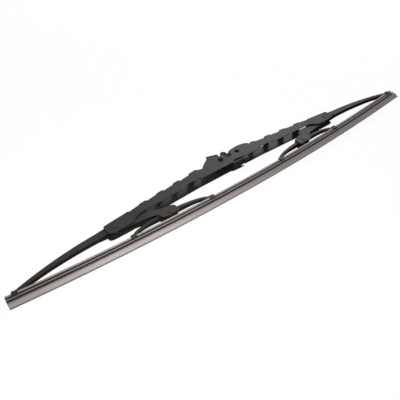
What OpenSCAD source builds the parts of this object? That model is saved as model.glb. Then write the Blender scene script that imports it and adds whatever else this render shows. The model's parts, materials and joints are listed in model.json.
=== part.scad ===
// Conventional framed wiper blade, lying on its side.
// X runs along the blade, Y from the wiping edge to the bridge, Z through its thickness.
// Heights are measured from the wiping edge at mid length, widths from the blade's middle plane.

/* [Rubber] */
// Length of the rubber
rubber_len = 508; // [496:1:530]
// Height of the rubber, wiping edge to back
rubber_h = 12.8; // [12:0.1:13.4]
// Half width of the rubber's back
back_half_w = 3.3; // [3:0.05:3.8]
// Thickness of the back above the groove
back_t = 2.5; // [2.3:0.1:2.8]
// Height of the groove that takes the steel strips and the claw tips
groove_h = 1.8; // [1.6:0.05:2]
// Half thickness of the core left between the two grooves
core_half_w = 1.3; // [1:0.05:1.6]
// Height of the body strip between the groove and the neck
body_h = 1.45; // [1.2:0.05:1.8]
// Height of the thin neck that lets the lip flip over
neck_h = 1.5; // [1.2:0.05:1.7]
// Half thickness of the neck
neck_half_w = 0.65; // [0.5:0.05:0.9]
// Half width of the lip's shoulder
lip_half_w = 2.5; // [2.2:0.05:2.8]
// Half thickness of the wiping edge
edge_half_w = 0.45; // [0.35:0.05:0.6]
// How far the ends of the rubber stand above its middle
bow = 12.5; // [11:0.5:15]

/* [Steel strips] */
// Thickness of each strip
strip_t = 0.8; // [0.6:0.05:0.9]
// Width of each strip
strip_w = 1.8; // [1.4:0.05:1.9]
// How far each strip stops short of the rubber's end
strip_inset = 4; // [2:0.5:6]

/* [Claws] */
// Distance of the outer claws from the rubber's ends
claw_inset = 9.5; // [8:0.5:12]
// Length of a claw along the rubber
claw_len = 5; // [4:0.25:6]
// Thickness of the metal of the claws
claw_t = 0.85; // [0.7:0.05:1]
// Gap between a claw and the rubber or strip that it grips
claw_gap = 0.12; // [0.08:0.01:0.2]

/* [Small yokes] */
// Distance from a small yoke's pivot to each of its claws
yoke_reach = 44; // [40:0.5:46]
// Height of the small yokes' pivots above the rubber's back
yoke_pivot_rise = 6.3; // [6:0.1:6.8]
// Half width of the small yokes
yoke_half_w = 2.65; // [2.5:0.05:2.7]
// Half width of the small yokes' arms next to their claws
yoke_tip_half_w = 1.7; // [1.5:0.05:2]
// Sheet thickness of the small yokes
yoke_t = 0.75; // [0.6:0.05:0.8]

/* [Levers] */
// Distance from a lever's pivot in to the small yoke's pivot
lever_inner_len = 50.5; // [48:0.5:52]
// Depth of the lever pivots under the bridge's roof line
lever_pivot_drop = 7.1; // [6.8:0.1:7.4]
// Half width of the levers round the small yokes
lever_half_w = 4; // [3.95:0.05:4.2]
// Half width of the levers at their pivots
lever_pivot_half_w = 3.4; // [3.2:0.05:3.45]
// Half width of the levers' long outer arms
arm_half_w = 2.4; // [2.2:0.05:2.8]
// Sheet thickness of the levers
lever_t = 0.75; // [0.65:0.05:0.8]

/* [Bridge] */
// Width of the bridge over its two flanks
bridge_w = 11.4; // [11.2:0.1:12.4]
// Half width of the bridge's crimped ends
end_half_w = 4.9; // [4.8:0.05:5.1]
// Sheet thickness of the bridge
bridge_t = 0.9; // [0.8:0.05:1]
// Height of the bridge's roof line at mid length
roof_mid_y = 55.6; // [55:0.1:57]
// Fall of the roof line for each millimetre along the bridge
roof_fall = 0.0925; // [0.09:0.0005:0.095]
// Half length of the bridge
bridge_half_len = 151.5; // [149:0.5:153]
// Distance of the lever pivots from the bridge's ends
pivot_inset = 9.5; // [8.5:0.25:10.5]
// Height of the flanks' lower edge next to the middle
flank_low_y = 37.6; // [37:0.1:38]
// Height of the flanks' lower edge around the lever pivots
skirt_low_y = 29.3; // [28.5:0.1:30]
// Length of the low skirt at each end of the bridge
skirt_len = 24.5; // [22:0.5:26]
// Distance of the first cross bar of the vented roof from mid length
first_bar_x = 42; // [41:0.5:44]
// Width of a cross bar along the bridge
bar_w = 5.5; // [4.5:0.25:6.5]
// Number of vents on each side
vent_count = 4; // [3:1:5]
// How far the first vents cut down into the flanks
vent_bite = 1.8; // [1.4:0.1:2.2]
// How far the last vents cut down into the flanks
last_vent_bite = 1; // [0.6:0.1:1.4]
// Depth of the two grooves pressed across each end of the flanks
pleat_d = 0.3; // [0.2:0.05:0.4]

/* [Arm coupling] */
// Height of the cheeks' peak above the roof line
cheek_rise = 5.8; // [5:0.1:6.5]
// Distance of the tubular rivet from mid length
hook_pin_x = -4.8; // [-6:0.1:-4]
// Height of the tubular rivet
hook_pin_y = 48.4; // [47.8:0.1:49]
// Outer radius of the tubular rivet
hook_pin_r = 3.2; // [3:0.05:3.4]
// Bore radius of the tubular rivet
hook_pin_bore_r = 2.8; // [2.6:0.05:2.85]
// Distance of the arm-pin hole from mid length
arm_hole_x = 18.3; // [17.8:0.1:19]
// Height of the arm-pin hole
arm_hole_y = 48.9; // [48.4:0.1:49.4]
// Radius of the arm-pin hole
arm_hole_r = 2.4; // [2.38:0.01:2.46]
// Gap between the adapter and the flanks it swings between
adapter_gap = 0.3; // [0.2:0.05:0.4]
// Wall thickness of the adapter's cheeks
adapter_wall = 0.7; // [0.6:0.05:0.8]

/* [Rivets and bushes] */
// Radius of the lever rivets
rivet_r = 1.8; // [1.6:0.05:1.9]
// Radius of the yoke rivets
yoke_rivet_r = 1.3; // [1.1:0.05:1.4]
// How far the rivet heads spread beyond their shanks
rivet_spread = 0.9; // [0.7:0.05:1.1]
// How far the tubular rivet's ends are flared over the cheeks
flare = 0.5; // [0.4:0.05:0.8]
// Height of the rivet heads
rivet_head_h = 0.45; // [0.3:0.05:0.6]
// Wall thickness of the nylon bushes
bush_wall = 0.6; // [0.5:0.05:0.7]
// Running clearance between a rivet and its bush
pin_play = 0.05; // [0.03:0.01:0.08]
// Gap left between a bush's end and the sheet beside it
side_play = 0.1; // [0.05:0.01:0.15]

/* [Hidden] */
$fn = 48;

half_len = rubber_len / 2;
bend_r = (pow(half_len, 2) + pow(bow, 2)) / (2 * bow);
bridge_half_w = bridge_w / 2;
flank_in = bridge_half_w - bridge_t;
outer_claw_x = half_len - claw_inset;
lever_pivot_x = bridge_half_len - pivot_inset;
lever_pivot_y = roof_mid_y - roof_fall * lever_pivot_x - lever_pivot_drop;
yoke_x = lever_pivot_x - lever_inner_len;
bar_pitch = (bridge_half_len - skirt_len - first_bar_x) / vent_count;
low = -20;
cheek_peak_y = roof_mid_y + cheek_rise;
groove_top = rubber_h - back_t;
groove_low = groove_top - groove_h;
neck_top = groove_low - body_h;
neck_low = neck_top - neck_h;
claw_half_w = back_half_w + claw_gap + claw_t;
function bush_r(pin_r) = pin_r + pin_play + bush_wall;
// The far head of the tubular rivet is the lowest point of the blade.
floor_z = bridge_half_w + rivet_head_h;
mid_y = cheek_peak_y / 2;

// Height of the bridge's roof line at a distance from mid length
function roof(x) = roof_mid_y - roof_fall * abs(x);
// Points on a cubic curve through p[0] and p[3], steered by p[1] and p[2]
function curve(p, n = 10) = [for (i = [0:n]) let (t = i / n, s = 1 - t)
    s * s * s * p[0] + 3 * s * s * t * p[1] + 3 * s * t * t * p[2] + t * t * t * p[3]];
function reversed(a) = [for (i = [len(a) - 1:-1:0]) a[i]];
function lowered(a, d) = [for (p = a) [p[0], p[1] - d]];
// The space under a line, down to a level below everything
function space_under(a) = concat(a, [[a[len(a) - 1][0], low], [a[0][0], low]]);

// Moves the finished pieces so that the origin lies under the middle of the blade
module seat() translate([0, -mid_y, floor_z]) children();
// Turns pieces drawn against the straight rubber to where the bowed rubber has them
module on_rubber(x) translate([0, bend_r, 0])
    rotate([0, 0, asin(x / (bend_r - rubber_h))]) translate([0, -bend_r, 0]) children();
module slab(half_w) translate([0, 0, -half_w]) linear_extrude(2 * half_w) children();
// A plan, drawn as [along, across], raised through the whole height of the blade
module as_prism() translate([0, 2 * cheek_peak_y, 0]) rotate([90, 0, 0]) linear_extrude(3 * cheek_peak_y) children();
module left_and_right_walls(z, t) for (s = [-1, 1]) translate([0, 0, s > 0 ? z - t : -z])
    linear_extrude(t) children();
module bar(r, z0, z1) translate([0, 0, z0]) cylinder(r = r, h = z1 - z0);

// Rubber and steel strips

rubber_profile = concat(
    [[edge_half_w, 0], [edge_half_w, 0.9], [lip_half_w, neck_low - 1.1], [lip_half_w, neck_low],
     [neck_half_w, neck_low], [neck_half_w, neck_top], [back_half_w - 0.2, neck_top],
     [back_half_w - 0.2, groove_low], [core_half_w, groove_low], [core_half_w, groove_top],
     [back_half_w, groove_top], [back_half_w, rubber_h - 0.7], [back_half_w - 0.7, rubber_h]]);
module rubber_section() polygon(concat(rubber_profile, [for (p = reversed(rubber_profile)) [-p[0], p[1]]]));
// A section drawn as [thickness, height] swept along the bowed rubber
module swept(half) {
    a = asin(half / bend_r);
    translate([0, bend_r, 0]) rotate([0, 0, -90 - a]) rotate_extrude(angle = 2 * a, $fn = 720)
        translate([bend_r, 0]) rotate([0, 0, 90]) children();
}
module squeegee() color([0.47, 0.44, 0.43]) swept(half_len) rubber_section();
module strip(side) color([0.5, 0.5, 0.5]) swept(half_len - strip_inset)
    translate([side > 0 ? core_half_w : -core_half_w - strip_w, groove_top - strip_t])
        square([strip_w, strip_t]);

// Claws

tip_low = groove_low + claw_gap;
tip_top = groove_top - strip_t - claw_gap;
claw_top = rubber_h + claw_gap + claw_t;
tip_in = core_half_w + 0.7;
module claw_section() for (m = [0, 1]) mirror([m, 0]) polygon([[0, claw_top - claw_t],
    [back_half_w + claw_gap, claw_top - claw_t], [back_half_w + claw_gap, tip_top], [tip_in, tip_top],
    [tip_in, tip_low], [claw_half_w, tip_low], [claw_half_w, claw_top - 0.5], [claw_half_w - 0.5, claw_top],
    [0, claw_top]]);
module claw() rotate([0, 90, 0]) slab(claw_len / 2) claw_section();

// Small yokes, drawn for the right side

yoke_pivot_v = rubber_h + yoke_pivot_rise;
// How far the bowed rubber's back rises at the claws over the line it has at the pivot
yoke_sag = pow(yoke_reach, 2) / (2 * (bend_r - rubber_h));
yoke_top_half = curve([[0, yoke_pivot_v + 2.9], [0.4 * yoke_reach, yoke_pivot_v + 2.9],
                       [yoke_reach - 4, yoke_pivot_v + 2.1], [yoke_reach + 0.5, claw_top + yoke_sag - 0.1]]);
yoke_low_half = curve([[0, yoke_pivot_v - 0.6], [0.36 * yoke_reach, yoke_pivot_v - 0.2],
                       [yoke_reach - 8, yoke_pivot_v], [yoke_reach - 3, claw_top - claw_t + yoke_sag + 0.1]]);
function both_ways(a) = concat([for (p = reversed(a)) [-p[0], p[1]]], [for (i = [1:len(a) - 1]) a[i]]);
module yoke_blank() polygon(concat(both_ways(yoke_top_half), reversed(both_ways(yoke_low_half))));
// A small yoke seen from above: its arms narrow towards the claws
module yoke_plan(inset) for (m = [0, 1], k = [0, 1]) mirror([m, 0]) mirror([0, k]) polygon([[-1, 0],
    [-1, yoke_half_w - inset], [0.3 * yoke_reach, yoke_half_w - inset],
    [yoke_reach - 8, yoke_tip_half_w - inset], [yoke_reach + 2, yoke_tip_half_w - inset], [yoke_reach + 2, 0]]);
module claw_yoke() color([0.07, 0.07, 0.075]) difference() {
    union() {
        on_rubber(yoke_x) difference() {
            intersection() {
                slab(yoke_half_w) yoke_blank();
                as_prism() yoke_plan(0);
            }
            intersection() {
                slab(yoke_half_w) polygon(space_under(lowered(both_ways(yoke_top_half), yoke_t)));
                as_prism() yoke_plan(yoke_t);
            }
        }
        on_rubber(yoke_x) left_and_right_walls(yoke_half_w, yoke_t) translate([0, yoke_pivot_v]) circle(r = 3.3);
        for (x = [yoke_x - yoke_reach, yoke_x + yoke_reach]) on_rubber(x) claw();
    }
    translate(yoke_pivot) bar(bush_r(yoke_rivet_r), -floor_z, floor_z);
}

// Levers, drawn for the right side

lever_pivot = [lever_pivot_x, lever_pivot_y];
yoke_turn = asin(yoke_x / (bend_r - rubber_h));
yoke_pivot = [(bend_r - yoke_pivot_v) * sin(yoke_turn), bend_r - (bend_r - yoke_pivot_v) * cos(yoke_turn)];
house_x0 = yoke_x - 9;
house_x1 = yoke_x + 9.5;
arm_len = outer_claw_x - lever_pivot_x;
claw_back = bend_r - sqrt(pow(bend_r - claw_top, 2) - pow(outer_claw_x, 2));
// A corner point placed from a pivot
function off(p, dx, dy) = [p[0] + dx, p[1] + dy];
lever_top = concat(
    curve([[house_x0, yoke_pivot[1] + 4.3], [house_x0 + 1, yoke_pivot[1] + 5.8], [house_x0 + 4, yoke_pivot[1] + 6.9],
           off(yoke_pivot, 0, 7.3)], 5),
    curve([off(yoke_pivot, 5, 8.2), off(yoke_pivot, 14, 13.4), off(lever_pivot, -22, 3.4), off(lever_pivot, -4, 4.8)], 9),
    curve([off(lever_pivot, 9, 4.9), off(lever_pivot, 0.4 * arm_len, 4.9),
           [outer_claw_x - 0.22 * arm_len, lever_pivot_y - 2.2],
           [outer_claw_x + 0.5, claw_back + 0.5]], 12));
lever_low = concat([[outer_claw_x, claw_back - claw_t + 0.15]],
    curve([[outer_claw_x - 6, claw_back - claw_t - 0.2], [outer_claw_x - 0.22 * arm_len, lever_pivot_y - 5.8],
           off(lever_pivot, 0.42 * arm_len, -1.8), off(lever_pivot, 9, -2.6)], 12),
    curve([off(lever_pivot, 2, -4.2), off(lever_pivot, -18, -8), off(lever_pivot, -34, -8.6), off(yoke_pivot, 11.5, 2.4)], 8),
    [[house_x1, yoke_pivot[1] - 2.6], [house_x1 - 4, yoke_pivot[1] - 3.9], [house_x0, yoke_pivot[1] - 3.9]]);
// The lever seen from above: widest round the small yoke, slim along the outer arm
module lever_plan(inset) for (m = [0, 1]) mirror([0, m]) polygon([[house_x0 - 1, 0],
    [house_x0 - 1, lever_half_w - inset], [lever_pivot_x - 32, lever_half_w - inset],
    [lever_pivot_x - 16, lever_pivot_half_w - inset], [lever_pivot_x + 9, lever_pivot_half_w - inset],
    [lever_pivot_x + 20, arm_half_w - inset], [outer_claw_x, arm_half_w - 0.2 - inset], [outer_claw_x, 0]]);
module lever() color([0.07, 0.07, 0.075]) difference() {
    union() {
        difference() {
            intersection() {
                slab(lever_half_w) polygon(concat(lever_top, lever_low));
                as_prism() lever_plan(0);
            }
            intersection() {
                slab(lever_half_w) polygon(space_under(lowered(lever_top, lever_t)));
                as_prism() lever_plan(lever_t);
            }
        }
        on_rubber(outer_claw_x) claw();
    }
    translate(lever_pivot) bar(bush_r(rivet_r), -floor_z, floor_z);
    translate(yoke_pivot) bar(yoke_rivet_r, -floor_z, floor_z);
}

// Bridge

// Between these two places the roof is open for the arm, and the flanks stand up as cheeks.
window_x0 = 6.5 - first_bar_x;
window_x1 = first_bar_x - 2.2;
notch_x = 6.3;
notch_y = roof_mid_y - 5.3;
notch_r = 3.9;
cheek_top = concat([[window_x0, roof(window_x0)], [window_x0 + 1, roof(window_x0) - 1.8],
    [-31, roof_mid_y - 5.9], [-29, roof_mid_y - 6.7], [-26.6, roof_mid_y - 4.5], [-22.4, roof_mid_y - 1.4],
    [-16.2, roof_mid_y + 2.2], [-13.7, cheek_peak_y], [-2, cheek_peak_y - 3.7], [-1.8, roof_mid_y - 1.6],
    [notch_x + notch_r + 0.2, roof_mid_y - 1.9]],
    curve([[11.7, roof_mid_y - 1], [18, roof_mid_y + 1], [30, roof_mid_y + 2.2], [37, roof_mid_y - 2.5]], 8),
    [[window_x1 - 2, roof_mid_y - 4.4], [window_x1 - 1, roof_mid_y - 4.4], [window_x1, roof(window_x1)]]);
// Lower edge of the right half: the skirt, the step up to the flank and a long rise to the middle
flank_low = concat(
    curve([[bridge_half_len, skirt_low_y + 3], [bridge_half_len - 0.5, skirt_low_y + 0.8],
           [bridge_half_len - 2, skirt_low_y], [bridge_half_len - 5, skirt_low_y]], 4),
    curve([[bridge_half_len - skirt_len, skirt_low_y], [bridge_half_len - skirt_len - 4, skirt_low_y + 0.3],
           [bridge_half_len - skirt_len - 5, flank_low_y - 3.2], [bridge_half_len - skirt_len - 14, flank_low_y - 2.4]], 7),
    [[first_bar_x + 2.3 * bar_pitch, flank_low_y - 1.9], [first_bar_x + 1.4 * bar_pitch, flank_low_y - 1.1],
     [first_bar_x, flank_low_y]]);
module flank_outline() {
    top_left = [[-bridge_half_len, roof(bridge_half_len) - 1.5], [1.5 - bridge_half_len, roof(bridge_half_len - 1.5)]];
    polygon(concat(top_left, cheek_top, reversed([for (p = top_left) [-p[0], p[1]]]), flank_low,
        [[19.5, flank_low_y], [17, flank_low_y - 2.2], [4, flank_low_y - 1.6], [0, flank_low_y]],
        reversed([for (p = flank_low) [-p[0], p[1]]])));
}
module roof_hollow() polygon(concat(
    [[-bridge_half_len - 1, roof(bridge_half_len + 1) - bridge_t], [window_x0, roof(window_x0) - bridge_t],
     [window_x0, cheek_peak_y + 1], [window_x1, cheek_peak_y + 1], [window_x1, roof(window_x1) - bridge_t],
     [bridge_half_len + 1, roof(bridge_half_len + 1) - bridge_t], [bridge_half_len + 1, low], [-bridge_half_len - 1, low]]));
// The bridge seen from above: its ends are crimped narrower round the levers
module bridge_plan(inset) for (m = [0, 1], k = [0, 1]) mirror([m, 0]) mirror([0, k]) polygon([[-1, 0],
    [-1, bridge_half_w - inset], [bridge_half_len - skirt_len - 13, bridge_half_w - inset],
    [bridge_half_len - skirt_len - 1, end_half_w - inset], [bridge_half_len + 1, end_half_w - inset],
    [bridge_half_len + 1, 0]]);
// One vent between two cross bars, cut through the roof and the top of both flanks
module vent(x, bite) polygon([[x + bar_w / 2 - 2, roof(x) + 2], [x + bar_w / 2 + 1.6, roof(x + bar_w / 2) - bite],
    [x + bar_pitch - bar_w / 2 - 3, roof(x + bar_pitch - bar_w / 2) - bite],
    [x + bar_pitch - bar_w / 2 + 1, roof(x + bar_pitch) + 2]]);
// The slot low in the flanks that shows the adapter's latch
module latch_slot() translate([5.5, flank_low_y + 1.2]) rotate([0, 0, -5.7]) {
    translate([0, -1.2]) square([15, 2.4]);
    for (x = [0, 15]) translate([x, 0]) circle(r = 1.2);
}
// The near flank's lower edge is cut higher under the first vent of each side.
module near_notch() polygon([[first_bar_x - 4, flank_low_y - 1], [first_bar_x - 2, flank_low_y + 1.9],
    [first_bar_x + 0.72 * bar_pitch, flank_low_y + 1.7], [first_bar_x + 0.85 * bar_pitch, flank_low_y - 1.5]]);
module bridge() color([0.075, 0.075, 0.08]) difference() {
    union() {
        difference() {
            intersection() {
                slab(bridge_half_w) flank_outline();
                as_prism() bridge_plan(0);
            }
            intersection() {
                slab(flank_in) roof_hollow();
                as_prism() bridge_plan(bridge_t);
            }
        }
        // The cheeks' sloping top edge is folded outward.
        left_and_right_walls(floor_z - 0.05, floor_z - 0.05 - flank_in) polygon([[-13.7, cheek_peak_y],
            [-2, cheek_peak_y - 3.7], [-2.1, cheek_peak_y - 4.6], [-13.5, cheek_peak_y - 0.95]]);
    }
    for (m = [0, 1], i = [0:vent_count - 1]) mirror([m, 0]) slab(bridge_half_w + 1)
        vent(first_bar_x + i * bar_pitch, vent_bite + (last_vent_bite - vent_bite) * i / (vent_count - 1));
    slab(bridge_half_w + 1) {
        translate([notch_x, notch_y]) circle(r = notch_r);
        translate([notch_x - notch_r, notch_y]) square([2 * notch_r, 12]);
        latch_slot();
    }
    for (m = [0, 1]) mirror([m, 0]) linear_extrude(floor_z) near_notch();
    for (s = [-1, 1]) translate([s * lever_pivot_x, lever_pivot_y]) bar(rivet_r, -floor_z, floor_z);
    translate([hook_pin_x, hook_pin_y]) bar(hook_pin_r, -floor_z, floor_z);
    translate([arm_hole_x, arm_hole_y]) bar(arm_hole_r, -floor_z, floor_z);
    for (s = [-1, 1], x = [2.4, 5.2]) translate([s * (bridge_half_len - x) - 0.5, skirt_low_y - 1, 0])
        left_and_right_walls(end_half_w + 1, 1 + pleat_d) square([1, 20]);
}

// Rivets and bushes

module rivet(half_w, r) {
    bar(r, -half_w, half_w);
    for (m = [0, 1]) mirror([0, 0, m]) bar(r + rivet_spread, half_w, half_w + rivet_head_h);
}
// A plain sleeve, pressed into a lever or yoke, that turns on the rivet and spaces the sheets apart
module bush(free_out, r) difference() {
    bar(bush_r(r), side_play - free_out, free_out - side_play);
    bar(r + pin_play, -floor_z, floor_z);
}
module lever_rivet() color([0.1, 0.1, 0.1]) translate(lever_pivot) rivet(end_half_w, rivet_r);
module lever_bush() color([0.15, 0.15, 0.15]) translate(lever_pivot) bush(end_half_w - bridge_t, rivet_r);
module yoke_rivet() color([0.1, 0.1, 0.1]) translate(yoke_pivot) rivet(lever_half_w, yoke_rivet_r);
module yoke_bush() color([0.15, 0.15, 0.15]) translate(yoke_pivot) bush(lever_half_w - lever_t, yoke_rivet_r);
module hook_rivet() color([0.1, 0.1, 0.1]) translate([hook_pin_x, hook_pin_y]) difference() {
    union() {
        bar(hook_pin_r, -bridge_half_w, bridge_half_w);
        for (m = [0, 1]) mirror([0, 0, m]) bar(hook_pin_r + flare, bridge_half_w, floor_z);
    }
    bar(hook_pin_bore_r, -floor_z - 1, floor_z + 1);
}

// Adapter

adapter_half_w = flank_in - adapter_gap;
hub_r = hook_pin_r + 1.6;
drum = [5.2, roof_mid_y - 0.2];
drum_r = 3.7;
module adapter_side() {
    polygon([[hook_pin_x, hook_pin_y + hub_r], [drum[0] - 3, drum[1] - 1.4], [drum[0] + 3, drum[1] - 1.6],
        [arm_hole_x + 2, arm_hole_y + 4], [arm_hole_x + 5.4, arm_hole_y + 0.8], [arm_hole_x + 5.8, arm_hole_y - 5],
        [arm_hole_x + 2, arm_hole_y - 8], [hook_pin_x + 2, hook_pin_y - hub_r + 0.5]]);
    translate([hook_pin_x, hook_pin_y]) circle(r = hub_r);
    translate(drum) circle(r = drum_r);
}
latch_belly = curve([[arm_hole_x - 2.6, flank_low_y + 1], [arm_hole_x - 4, flank_low_y - 2.6],
                     [arm_hole_x - 8.5, flank_low_y - 3.8], [arm_hole_x - 13, flank_low_y - 3.6]], 8);
module latch_side() polygon(concat([[arm_hole_x + 0.5, arm_hole_y - 4]], latch_belly,
    [[arm_hole_x - 15.2, flank_low_y - 3], [arm_hole_x - 16.4, flank_low_y - 0.4],
     [arm_hole_x - 15, flank_low_y + 1.2], [arm_hole_x - 9, flank_low_y + 1.2],
     [arm_hole_x - 5.4, flank_low_y + 3.2], [arm_hole_x - 3.4, arm_hole_y - 4]]));
module adapter() color([0.08, 0.08, 0.085]) difference() {
    union() {
        left_and_right_walls(adapter_half_w, adapter_wall) adapter_side();
        slab(adapter_half_w) intersection() {
            adapter_side();
            translate([arm_hole_x - 4.2, arm_hole_y - 9]) square([12, 16]);
        }
        translate([hook_pin_x, hook_pin_y]) bar(hub_r, -adapter_half_w, adapter_half_w);
        translate(drum) bar(1.6, -adapter_half_w, adapter_half_w);
        slab(adapter_half_w - 1.2) {
            latch_side();
            for (i = [2:6]) translate(latch_belly[i] - [0.5, 0.6]) square([1, 1.2]);
        }
    }
    translate([hook_pin_x, hook_pin_y]) bar(hook_pin_r + pin_play, -floor_z, floor_z);
    translate([arm_hole_x, arm_hole_y]) bar(arm_hole_r, -floor_z, floor_z);
}

module on_left() mirror([1, 0, 0]) children();
seat() bridge();
seat() hook_rivet();
seat() adapter();
seat() on_left() lever();  // left_lever
seat() lever();  // right_lever
seat() on_left() lever_rivet();  // left_lever_rivet
seat() lever_rivet();  // right_lever_rivet
seat() on_left() lever_bush();  // left_lever_bush
seat() lever_bush();  // right_lever_bush
seat() on_left() claw_yoke();  // left_claw_yoke
seat() claw_yoke();  // right_claw_yoke
seat() on_left() yoke_rivet();  // left_yoke_rivet
seat() yoke_rivet();  // right_yoke_rivet
seat() on_left() yoke_bush();  // left_yoke_bush
seat() yoke_bush();  // right_yoke_bush
seat() squeegee();
seat() strip(1);  // near_strip
seat() strip(-1);  // far_strip
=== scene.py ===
# %% [markdown]
# # Wiper blade
# A framed wiper blade lies on its side. On the real blade a pressed-steel bridge carries two levers, each
# lever carries a small yoke, and six claws on them hold one bowed rubber squeegee. Steel, nylon and plastic
# pieces come from the imported frame as they are. This script cuts the rubber into stretches that can bend,
# gives every piece its finish, and sets the light and the camera of the photograph. Lengths are in metres.

# %% Load the frame
import json
import math

import bmesh
import bpy
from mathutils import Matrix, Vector


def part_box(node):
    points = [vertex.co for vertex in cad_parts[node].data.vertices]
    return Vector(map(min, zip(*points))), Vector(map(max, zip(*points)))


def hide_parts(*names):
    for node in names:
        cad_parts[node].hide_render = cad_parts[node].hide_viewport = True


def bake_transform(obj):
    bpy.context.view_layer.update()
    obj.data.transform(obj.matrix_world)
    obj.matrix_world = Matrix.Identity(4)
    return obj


MM_PER_M = 1000
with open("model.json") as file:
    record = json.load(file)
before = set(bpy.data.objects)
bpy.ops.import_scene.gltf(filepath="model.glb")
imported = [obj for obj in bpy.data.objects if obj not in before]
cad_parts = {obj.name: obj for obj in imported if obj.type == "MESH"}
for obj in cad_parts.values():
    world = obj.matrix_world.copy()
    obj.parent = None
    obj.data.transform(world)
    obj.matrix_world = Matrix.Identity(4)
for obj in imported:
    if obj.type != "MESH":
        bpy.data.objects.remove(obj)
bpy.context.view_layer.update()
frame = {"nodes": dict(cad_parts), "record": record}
nodes = frame["nodes"]

# %% [markdown]
# ## A plain shader
# Every finish here is one principled shader with even values for roughness, metal and gloss. An image would
# carry more detail, but each surface of a wiper blade is a single material, so colour and noise are enough.

# %% The common shader
def shader(name, color, rough, metallic=0.0, specular=0.5):
    material = bpy.data.materials.new(name)
    material.use_nodes = True
    principled = material.node_tree.nodes["Principled BSDF"]
    principled.inputs["Base Color"].default_value = (*color, 1)
    principled.inputs["Roughness"].default_value = rough
    principled.inputs["Metallic"].default_value = metallic
    principled.inputs["Specular IOR Level"].default_value = specular
    return material


print("the shader takes a colour, a roughness, a share of metal and a gloss")

# %% [markdown]
# ## Grain and mottle
# Powder coat has a faint orange peel, rolled steel has fine lines, and moulded plastic is etched. A bump from
# a fine noise gives all three. The colour of a real finish also drifts a little from place to place, which a
# coarser noise gives. Both noises are fixed to the piece, and a stretch draws their lumps out along one axis.

# %% Noise, grain and mottle
EVEN = (1, 1, 1)
MOTTLE_DARK, MOTTLE_LIGHT = 0.3, 0.7


def noise_on(tree, lump, stretch):
    """A noise with lumps of the given size, drawn out along an axis where the stretch is below 1."""
    place = tree.nodes.new("ShaderNodeTexCoord")
    scale = tree.nodes.new("ShaderNodeVectorMath")
    scale.operation = "MULTIPLY"
    scale.inputs[1].default_value = [s / lump for s in stretch]
    noise = tree.nodes.new("ShaderNodeTexNoise")
    noise.inputs["Scale"].default_value = 1.0
    tree.links.new(place.outputs["Object"], scale.inputs[0])
    tree.links.new(scale.outputs[0], noise.inputs["Vector"])
    return noise.outputs[0]


def add_grain(material, lump, relief, stretch=EVEN):
    """A fine bump of the given relief over the surface."""
    tree = material.node_tree
    bump = tree.nodes.new("ShaderNodeBump")
    bump.inputs["Distance"].default_value = relief
    tree.links.new(noise_on(tree, lump, stretch), bump.inputs["Height"])
    tree.links.new(bump.outputs[0], tree.nodes["Principled BSDF"].inputs["Normal"])


def add_mottle(material, patch, change, stretch=EVEN):
    """Patches that are lighter and darker than the shader's colour by the given share."""
    tree = material.node_tree
    base = tree.nodes["Principled BSDF"].inputs["Base Color"]
    color = tuple(base.default_value)[:3]
    ramp = tree.nodes.new("ShaderNodeValToRGB")
    dark, light = ramp.color_ramp.elements
    dark.position, light.position = MOTTLE_DARK, MOTTLE_LIGHT
    dark.color = (*(c * (1 - change) for c in color), 1)
    light.color = (*(c * (1 + change) for c in color), 1)
    tree.links.new(noise_on(tree, patch, stretch), ramp.inputs["Fac"])
    tree.links.new(ramp.outputs["Color"], base)


print("mottle runs from", MOTTLE_DARK, "to", MOTTLE_LIGHT, "of the noise")

# %% [markdown]
# ## A coat that thins with height, and painted shade
# The lip is palest along its flat, and darker under the neck and near the edge. Near the edge this is taken
# for a grey coat that thins, as graphite would where a screen rubs. Under the neck the darkening is painted
# shade. The shader reads each corner's height above the edge from the mesh. A place in space would be simpler
# to read, but then the coat and the painted shade would slide over the rubber as it bends.

# %% Thin a coat by height, with painted shade
HEIGHT_NAME = "height"


def coat_and_shade_by_height(material, under, top, coverage_and_shade):
    """Lets the colour under the coat show by height, where the coat thins and as painted shade, from pairs of
    height, as a share of the top, and how much of the coat's colour is kept.
    """
    tree = material.node_tree
    base = tree.nodes["Principled BSDF"].inputs["Base Color"]
    above_edge = tree.nodes.new("ShaderNodeAttribute")
    above_edge.attribute_name = HEIGHT_NAME
    share = tree.nodes.new("ShaderNodeMath")
    share.operation = "DIVIDE"
    share.inputs[1].default_value = top
    ramp = tree.nodes.new("ShaderNodeValToRGB")
    stops = ramp.color_ramp.elements
    while len(stops) < len(coverage_and_shade):
        stops.new(position=0.5)
    for stop, (place, covered) in zip(stops, coverage_and_shade):
        stop.position, stop.color = place, (covered, covered, covered, 1)
    mix = tree.nodes.new("ShaderNodeMixRGB")
    mix.inputs["Color1"].default_value = (*under, 1)
    tree.links.new(above_edge.outputs["Fac"], share.inputs[0])
    tree.links.new(share.outputs[0], ramp.inputs["Fac"])
    tree.links.new(ramp.outputs["Color"], mix.inputs["Fac"])
    tree.links.new(base.links[0].from_socket, mix.inputs["Color2"])
    tree.links.new(mix.outputs["Color"], base)


print("coats thin by the mesh's own", HEIGHT_NAME)

# %% [markdown]
# ## Steel, nylon and plastic
# The bridge, levers and yokes are stamped steel with a satin black powder coat. Rivets are phosphated, which
# is as black and a little duller. The arm adapter is a moulding of etched black plastic. The photograph shows
# only an edge and the ends of the strips in the rubber, and they are taken for rolled spring steel, dark with
# oil and graphite. It doesn't show the bushes at all, and they are made as black nylon.

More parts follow.
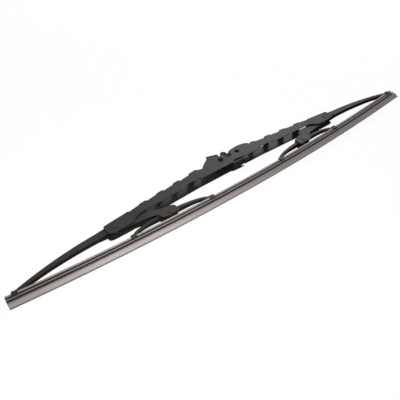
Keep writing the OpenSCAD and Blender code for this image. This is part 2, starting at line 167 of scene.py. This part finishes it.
# %% Make the hard finishes
BLACK_COAT = (0.015, 0.0145, 0.0125)
paint = shader("satin black powder coat", BLACK_COAT, rough=0.52, specular=0.2)
add_grain(paint, lump=0.0008, relief=0.00002)
add_mottle(paint, patch=0.012, change=0.15)
rivet = shader("black phosphated steel", BLACK_COAT, rough=0.55, specular=0.2)
add_mottle(rivet, patch=0.002, change=0.2)
steel = shader("rolled spring steel", (0.06, 0.055, 0.05), rough=0.5, metallic=1.0)
add_grain(steel, lump=0.0003, relief=0.00001, stretch=(0.05, 1, 1))
add_mottle(steel, patch=0.004, change=0.2, stretch=(0.2, 1, 1))
nylon = shader("black nylon", (0.02, 0.02, 0.02), rough=0.5)
add_mottle(nylon, patch=0.002, change=0.1)
plastic = shader("black adapter plastic", (0.01, 0.0095, 0.009), rough=0.6, specular=0.12)
add_grain(plastic, lump=0.0004, relief=0.00001)
add_mottle(plastic, patch=0.005, change=0.1)
print("hard finishes:", [m.name for m in (paint, rivet, steel, nylon, plastic)])

# %% [markdown]
# ## Rubber
# Wiper rubber is commonly graphited at the factory, which leaves its outside a dry, slightly mottled grey.
# The graphite hardly reaches the slots, and the lip is cut to its edge afterwards, so both places are made as
# bare brown-black rubber. The same dark rubber is laid on the neck and on the faces under the body as painted
# shade. The flanks of the body are made darker than the back and the lip. All four finishes have patches drawn
# out along the blade, because rubber is pulled through its die that way.

# %% Make the rubber's finishes
PULLED = (0.25, 1, 1)
RUBBER_ROUGH, RUBBER_GRAIN, RUBBER_PATCH = 0.6, 0.0006, 0.006
BARE_AND_SHADE_COLOR = (0.048, 0.036, 0.033)
LIP_TOP = 0.00555
# The lowest values, at the top of the lip, are painted shade under the neck; those near the edge stand for a
# coat rubbed thin.
LIP_COVERAGE_AND_SHADE = ((0, 0.4), (0.12, 0.65), (0.28, 1), (0.5, 1), (0.68, 0.85), (0.84, 0.4), (1, 0.08))
rubber = shader("graphited rubber", (0.27, 0.238, 0.232), RUBBER_ROUGH)
add_grain(rubber, RUBBER_GRAIN, relief=0.00002)
add_mottle(rubber, RUBBER_PATCH, change=0.1, stretch=PULLED)
lip_coat_and_shade = shader("graphited lip with painted shade", (0.3, 0.265, 0.258), RUBBER_ROUGH)
add_grain(lip_coat_and_shade, RUBBER_GRAIN, relief=0.00001)
add_mottle(lip_coat_and_shade, RUBBER_PATCH, change=0.06, stretch=PULLED)
coat_and_shade_by_height(lip_coat_and_shade, BARE_AND_SHADE_COLOR, LIP_TOP, LIP_COVERAGE_AND_SHADE)
# The flanks of the body are made darker than the back and the lip.
darker_flank_rubber = shader("darker flank rubber", (0.15, 0.13, 0.124), RUBBER_ROUGH)
add_grain(darker_flank_rubber, RUBBER_GRAIN, relief=0.00002)
add_mottle(darker_flank_rubber, RUBBER_PATCH, change=0.1, stretch=PULLED)
# This dark rubber also stands for painted shade on the neck and under the body.
bare_and_shaded = shader("bare rubber and painted shade", BARE_AND_SHADE_COLOR, RUBBER_ROUGH, specular=0.2)
add_mottle(bare_and_shaded, RUBBER_PATCH, change=0.15, stretch=PULLED)
print("rubber finishes:", [m.name for m in (rubber, lip_coat_and_shade, darker_flank_rubber, bare_and_shaded)])

# %% [markdown]
# ## Give each piece its finish
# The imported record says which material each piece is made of, so the finish follows from that and no piece
# is named here.

# %% Give each piece its finish
finishes = {
    "frame_steel": paint,
    "rivet_steel": rivet,
    "strip_steel": steel,
    "nylon": nylon,
    "adapter_plastic": plastic,
    "rubber": rubber,
}
slot_of = {part["node"]: part["material_slot"] for part in frame["record"]["subparts"]}
for name, obj in nodes.items():
    obj.data.materials.clear()
    obj.data.materials.append(finishes[slot_of[name]])
print("finishes:", sorted(finishes))

# %% [markdown]
# ## Rounded edges
# A stamped edge is never sharp: the press rolls it over a little and the powder coat rounds it further, which
# gives each fold and rim a thin line of light. Rivet heads and moulded edges are rounded too. Four modifiers
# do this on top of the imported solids, and leave the solids themselves alone. The first joins the corners that
# the file keeps apart, the second drops the triangle lines in flat faces, and the third cuts the edges round.
# The last joins corners that the rounding left in one place, so that no face is without area.

# %% Round the edges of the rigid pieces
BENDING = ("squeegee", "near_strip", "far_strip")
EDGE_ROUNDING, ROUNDING_STEPS = 0.00015, 2
SAME_CORNER, SAME_ROUNDED_CORNER = 0.000005, 0.000001
FLAT_BELOW, SHARP_ABOVE = math.radians(0.5), math.radians(40)
for name, obj in nodes.items():
    if name in BENDING:
        continue
    weld = obj.modifiers.new("join corners", "WELD")
    weld.merge_threshold = SAME_CORNER
    flat = obj.modifiers.new("clear flat faces", "DECIMATE")
    flat.decimate_type, flat.angle_limit = "DISSOLVE", FLAT_BELOW
    rounding = obj.modifiers.new("round edges", "BEVEL")
    rounding.width, rounding.segments = EDGE_ROUNDING, ROUNDING_STEPS
    rounding.limit_method, rounding.angle_limit = "ANGLE", SHARP_ABOVE
    rounding.use_clamp_overlap = False
    last_weld = obj.modifiers.new("join rounded corners", "WELD")
    last_weld.merge_threshold = SAME_ROUNDED_CORNER
    rounded = obj.evaluated_get(bpy.context.evaluated_depsgraph_get())
    print(name, "faces with rounded edges:", len(rounded.data.polygons))

# %% [markdown]
# ## The rubber's bow
# A new blade is bowed, so that it presses evenly on a curved screen. The wiping edge is an arc that rises
# 12.5 mm at its ends. With the arc's centre known, the height of any point above the edge is one distance,
# and the rubber's zones can be found by it all along the blade.

# %% The rubber's bow
BOW = 0.0125
rubber_low, rubber_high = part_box("squeegee")
HALF_LENGTH = rubber_high[0]
BOW_RADIUS = (HALF_LENGTH ** 2 + BOW ** 2) / (2 * BOW)
bow_center = Vector((0, rubber_low[1] + BOW_RADIUS, (rubber_low[2] + rubber_high[2]) / 2))
print("radius of the bow in mm:", round(MM_PER_M * BOW_RADIUS))


def height(point):
    """How far a point lies above the wiping edge, square to the bow."""
    return BOW_RADIUS - math.hypot(point[0] - bow_center[0], point[1] - bow_center[1])


# %% [markdown]
# ## Where the graphite and the painted shade lie
# The section has a back, a groove with the strips and claw tips in it, a body, a neck and the lip. A face's
# zone could be found by its height alone, but the rubber's long thin triangles reach over several heights.
# So a face is sorted by how far out it lies from the middle plane and by the way it faces as well.

# %% Where the graphite and the painted shade lie on the rubber
SORTING_SLACK = 0.00005
BODY_OUT, BACK_OUT = 0.0029, 0.0032
LIP_HEIGHT, BACK_HEIGHT = LIP_TOP + SORTING_SLACK, 0.01205
END_REACH = 0.002
FACES_ALONG, FACES_UP_OR_DOWN = 0.9, 0.8


def finish_at(center, normal):
    """The finish of one face: the slots, the wiping edge and the two ends are left uncoated, and the neck and
    the body's underside are made as dark as the slots, as painted shade.
    """
    out = abs(center.z - bow_center.z)
    if abs(normal.x) > FACES_ALONG and abs(center.x) > HALF_LENGTH - END_REACH:
        return bare_and_shaded
    if height(center) > BACK_HEIGHT or out > BACK_OUT:
        return rubber
    # Faces that look up or down are the uncoated slots and the body's underside, which is darkened as painted
    # shade.
    if abs(normal.y) > FACES_UP_OR_DOWN:
        return bare_and_shaded
    if out > BODY_OUT:
        return darker_flank_rubber
    # The neck between the body and the lip is darkened as painted shade.
    return lip_coat_and_shade if height(center) < LIP_HEIGHT else bare_and_shaded


def coat(mesh):
    """Gives each face of the rubber its finish, and each corner its height above the wiping edge."""
    coats = [rubber, lip_coat_and_shade, darker_flank_rubber, bare_and_shaded]
    for finish in coats:
        mesh.materials.append(finish)
    for face in mesh.polygons:
        face.material_index = coats.index(finish_at(face.center, face.normal))
    heights = mesh.attributes.new(HEIGHT_NAME, "FLOAT", "POINT")
    for vert in mesh.vertices:
        heights.data[vert.index].value = height(vert.co)


print("the lip ends at", MM_PER_M * LIP_HEIGHT, "mm and the back starts at", MM_PER_M * BACK_HEIGHT, "mm")

# %% [markdown]
# ## Cut the rubber into stretches that can bend
# The real squeegee is one extrusion with two flat springs in its grooves. It bends as the levers turn, and
# slides a little in the claws. Each of the three is copied from its solid, split into stretches, and cut
# across every few millimetres, because a mesh bends only where it has corners. A stretch is closed at both
# ends, so that it stays a solid by itself.

# %% Cut across a piece and slim it
CUT_STEP = 0.006
ON_PLANE = 1e-7
SECTION_MID = 0.0064


def cut_across(bm, x, side=1, drop=False):
    """Cuts the mesh square to the blade at x. With drop, what lies on that side is taken away."""
    return bmesh.ops.bisect_plane(
        bm, geom=bm.verts[:] + bm.edges[:] + bm.faces[:], dist=ON_PLANE,
        plane_co=(x, 0, 0), plane_no=(side, 0, 0), clear_outer=drop)


def slim(bm, share):
    """Draws every corner towards the middle of the section by the given share."""
    for vert in bm.verts:
        inward = share * (height(vert.co) - SECTION_MID)
        radial = (bow_center - vert.co).to_2d().normalized()
        vert.co -= Vector((radial.x * inward, radial.y * inward, share * (vert.co.z - bow_center.z)))


print("cross cuts every", MM_PER_M * CUT_STEP, "mm")

# %% Cut a stretch out of a bending piece
DOUBLED = 1e-6


def stretch(node, part, x0, x1, slimmer=0.0):
    """A copy of the node between two places along the blade, closed at both and cut across in between."""
    bm = bmesh.new()
    bm.from_mesh(nodes[node].data)
    bm.transform(nodes[node].matrix_world)
    bmesh.ops.remove_doubles(bm, verts=bm.verts[:], dist=DOUBLED)
    for x, side in ((x0, -1), (x1, 1)):
        cut = cut_across(bm, x, side, drop=True)
        edges = [e for e in cut["geom_cut"] if isinstance(e, bmesh.types.BMEdge)]
        if edges:
            bmesh.ops.edgenet_fill(bm, edges=edges)
    count = math.ceil((x1 - x0) / CUT_STEP)
    for i in range(1, count):
        cut_across(bm, x0 + (x1 - x0) * i / count)
    slim(bm, slimmer)
    for face in bm.faces:
        face.smooth = False
    bmesh.ops.recalc_face_normals(bm, faces=bm.faces[:])
    mesh = bpy.data.meshes.new(node)
    bm.to_mesh(mesh)
    bm.free()
    obj = bpy.data.objects.new(f"{node}_{part}", mesh)
    bpy.context.scene.collection.objects.link(obj)
    if node == "squeegee":
        coat(mesh)
    else:
        mesh.materials.append(finishes[slot_of[node]])
    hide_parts(node)
    return obj


print("corners within", MM_PER_M * DOUBLED, "mm are joined before a stretch is cut")

# %% [markdown]
# ## Split the bending pieces at the claws
# Each piece is split at mid length and at the two inner claws. At an inner claw the stretches lap over each
# other, as the real rubber slides in it. The middle is a hair slimmer and reaches a little into the outer ones,
# so that no two surfaces coincide and no slit opens. At full flex a slight kink is left there, of under two
# degrees.

# %% Make the bending pieces
CLAW_HALF = 0.0025
PAST_END = 0.001
# The middle's section is this share slimmer.
SLIMMER = 0.006
# The middle reaches this far into the outer stretches, which slide off by 0.23 mm at the levers' lower limit.
LAP = 0.0005
bpy.context.view_layer.update()
inner_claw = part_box("right_claw_yoke")[0][0] + CLAW_HALF
mid_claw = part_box("right_claw_yoke")[1][0] - CLAW_HALF
outer_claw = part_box("right_lever")[1][0] - CLAW_HALF
for node in BENDING:
    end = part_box(node)[1][0] + PAST_END
    for side, hand in ((-1, "left"), (1, "right")):
        middle = stretch(node, f"{hand}_middle", *sorted((0, side * (inner_claw + LAP))), SLIMMER)
        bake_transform(middle)
        outer = stretch(node, f"{hand}_outer", *sorted((side * inner_claw, side * end)))
        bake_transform(outer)
    bends_at = [round(MM_PER_M * x, 1) for x in (inner_claw, mid_claw, outer_claw)]
    print(node, "bends between x =", bends_at)

# %% [markdown]
# ## White without more light
# The photograph was made on a white sweep that is lit until it shows no grey. Lamps strong enough for that
# would wash out the black steel. Here rays that come from the camera, off gloss or through glass meet white,
# and only rays that gather diffuse light meet a plain level, so the white adds no light to the object.

# %% Tell the rays apart
def seen_straight(tree):
    """1 for a ray from the camera, off gloss or through glass, and 0 for one that gathers diffuse light."""
    rays = tree.nodes.new("ShaderNodeLightPath")
    seen = rays.outputs["Is Camera Ray"]
    for kind in ("Is Glossy Ray", "Is Transmission Ray"):
        either = tree.nodes.new("ShaderNodeMath")
        either.operation = "MAXIMUM"
        tree.links.new(seen, either.inputs[0])
        tree.links.new(rays.outputs[kind], either.inputs[1])
        seen = either.outputs[0]
    return seen


def between(tree, factor, low, high):
    """A number that goes from low to high with the factor."""
    span = tree.nodes.new("ShaderNodeMapRange")
    span.inputs["To Min"].default_value = low
    span.inputs["To Max"].default_value = high
    tree.links.new(factor, span.inputs["Value"])
    return span.outputs["Result"]


print("camera, gloss and glass see white")

# %% The white room
DIFFUSE_LEVEL, WHITE_LEVEL = 0.3, 1.0
world = bpy.data.worlds.new("white room")
bpy.context.scene.world = world
world.use_nodes = True
room = world.node_tree
sky = room.nodes["Background"]
sky.inputs["Color"].default_value = (1, 1, 1, 1)
room.links.new(between(room, seen_straight(room), DIFFUSE_LEVEL, WHITE_LEVEL), sky.inputs["Strength"])
print("the room lights the blade at", DIFFUSE_LEVEL)

# %% [markdown]
# ## The sweep
# The blade lies on the sweep and leaves a faint shadow there. A floor of plain glow would show none, so a
# tenth of its look is ordinary white paint, which darkens under the blade. The floor lies a tenth of a
# millimetre low, so that it shares no surface with the blade's underside.

# %% The sweep under the blade
FLOOR_PAINT_SHARE = 0.1
GLOW_LEVEL = 1.05
FLOOR_HALF, FLOOR_HEIGHT = 2.0, -0.0001
sweep = shader("white sweep", (0.8, 0.8, 0.8), rough=0.9, specular=0.0)
tree = sweep.node_tree
glow = tree.nodes.new("ShaderNodeEmission")
glow.inputs["Strength"].default_value = GLOW_LEVEL
mix = tree.nodes.new("ShaderNodeMixShader")
tree.links.new(between(tree, seen_straight(tree), 0, 1 - FLOOR_PAINT_SHARE), mix.inputs[0])
tree.links.new(tree.nodes["Principled BSDF"].outputs[0], mix.inputs[1])
tree.links.new(glow.outputs[0], mix.inputs[2])
tree.links.new(mix.outputs[0], tree.nodes["Material Output"].inputs["Surface"])
corners = [(x * FLOOR_HALF, y * FLOOR_HALF, FLOOR_HEIGHT) for x, y in ((-1, -1), (1, -1), (1, 1), (-1, 1))]
floor_mesh = bpy.data.meshes.new("floor")
floor_mesh.from_pydata(corners, [], [(0, 1, 2, 3)])
floor_mesh.materials.append(sweep)
floor = bpy.data.objects.new("floor", floor_mesh)
bpy.context.scene.collection.objects.link(floor)
print("floor:", 2 * FLOOR_HALF, "m square")

# %% [markdown]
# ## Light
# Two square lamps light the blade. The key is far behind it on its right, and gives the roof its edge of
# light and the black steel a gleam that grows to the right. The near fill is a small lamp before the left
# half, which brightens the lip there.

# %% Light
def lamp(name, at, to, size, watts):
    light = bpy.data.lights.new(name, "AREA")
    light.shape, light.size, light.energy = "SQUARE", size, watts
    obj = bpy.data.objects.new(name, light)
    bpy.context.scene.collection.objects.link(obj)
    obj.location = at
    obj.rotation_euler = (Vector(to) - Vector(at)).to_track_quat("-Z", "Y").to_euler()
    return obj


lamps = [
    lamp("key", at=(1.0, 0.88, 0.97), to=(0, 0, 0), size=0.35, watts=9.5),
    lamp("near fill", at=(-0.14, -0.13, 0.15), to=(-0.135, -0.02, 0), size=0.05, watts=0.38),
]
print("lamps:", [obj.name for obj in lamps])

# %% [markdown]
# ## Camera
# The camera looks down at the blade from the side of its wiping edge, close enough for strong perspective.
# Its place comes from matching the blade's ends, cheeks and holes to the photograph.

# %% Camera
HEADING, DIP = math.radians(39.53), math.radians(41.37)
DISTANCE = 0.51537
FOCAL_PX, PHOTO_PX, SENSOR_MM = 535.89, 400, 36
TARGET = Vector((-0.05716, -0.01232, 0.00615))
FARTHEST_SEEN = 20
aim = Vector((math.sin(HEADING) * math.cos(DIP), math.cos(HEADING) * math.cos(DIP), -math.sin(DIP)))
cam = bpy.data.cameras.new("camera")
cam.sensor_fit, cam.sensor_width = "HORIZONTAL", SENSOR_MM
cam.lens = SENSOR_MM * FOCAL_PX / PHOTO_PX
cam.clip_end = FARTHEST_SEEN
camera = bpy.data.objects.new("camera", cam)
bpy.context.scene.collection.objects.link(camera)
camera.location = TARGET - DISTANCE * aim
camera.rotation_euler = aim.to_track_quat("-Z", "Y").to_euler()
bpy.context.scene.camera = camera
bpy.context.scene.view_settings.view_transform = "Standard"
print("lens", round(cam.lens, 1), "mm, camera at", [round(v, 3) for v in camera.location])

# %% [markdown]
# ## Finish
# The scene is brought up to date once more.

# %% Finish
bpy.context.view_layer.update()
